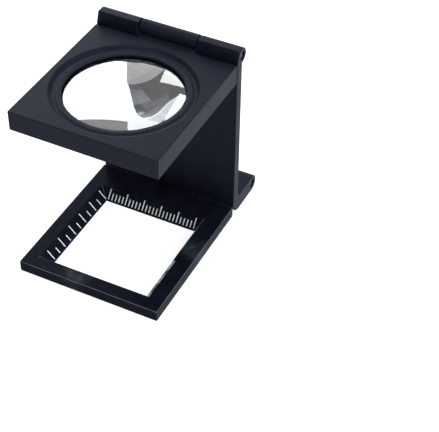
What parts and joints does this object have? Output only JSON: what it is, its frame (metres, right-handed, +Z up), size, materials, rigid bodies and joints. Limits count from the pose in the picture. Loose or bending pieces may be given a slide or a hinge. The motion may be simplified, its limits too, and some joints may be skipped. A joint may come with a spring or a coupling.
{
  "type": "viewing loupe",
  "caption": "Folding stand magnifier of three hinged leaves: a lens plate held level above a flat frame whose bevelled window carries engraved scales.",
  "frame": {"origin": "on the floor, at the middle of the standing loupe's footprint", "axes": "+Z up through the lens, +Y from the scale window towards the upright and its feet, +X along both hinge pins"},
  "size_m": [0.0382, 0.0558, 0.0508],
  "materials": {
    "enamel": "satin blue-black enamel on a fine cast surface",
    "glass": "polished clear glass",
    "ring": "semi-gloss black",
    "pin_steel": "drawn steel"
  },
  "bodies": {
    "upright": {"upright_plate": "enamel", "base_hinge_pin": "pin_steel", "lens_hinge_pin": "pin_steel"},
    "lens_leaf": {"lens_plate": "enamel", "lens": "glass", "lens_retaining_ring": "ring"},
    "base_leaf": {"base_frame": "enamel"}
  },
  "joints": [
    {"name": "lens_fold", "type": "hinge", "parent": "upright", "child": "lens_leaf", "pos_m": [0, 0.01675, 0.0488], "axis": [-1, 0, 0], "range_deg": [0, 270]},
    {"name": "base_fold", "type": "hinge", "parent": "upright", "child": "base_leaf", "pos_m": [0, 0.0256, 0.00225], "axis": [1, 0, 0], "range_deg": [0, 270]}
  ]
}
